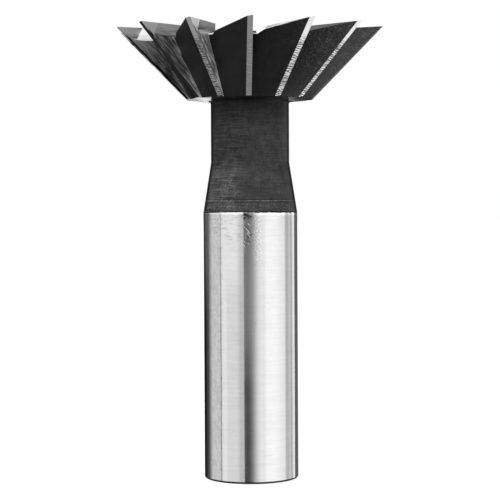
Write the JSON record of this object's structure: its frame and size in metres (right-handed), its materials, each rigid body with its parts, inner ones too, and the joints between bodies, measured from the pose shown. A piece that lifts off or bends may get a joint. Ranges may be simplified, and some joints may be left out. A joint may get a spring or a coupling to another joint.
{
  "type": "dovetail cutter",
  "caption": "Solid milling cutter for dovetail slots: a flaring head of straight teeth at 45 degrees on a slim neck, a short taper and a plain cylindrical shank.",
  "frame": {"origin": "centre of the shank's end face", "axes": "+Z along the tool's axis from the shank to the cutting end; the front tooth's cutting edge lies 1.5 degrees from -Y towards +X"},
  "size_m": [0.0448, 0.0456, 0.0763],
  "materials": {
    "tool_steel": "black oxide on the tooth backs, neck and taper; bright ground shank, lands, rake faces and end gashes"
  },
  "bodies": {
    "root": {"dovetail_cutter": "tool_steel"}
  },
  "joints": []
}
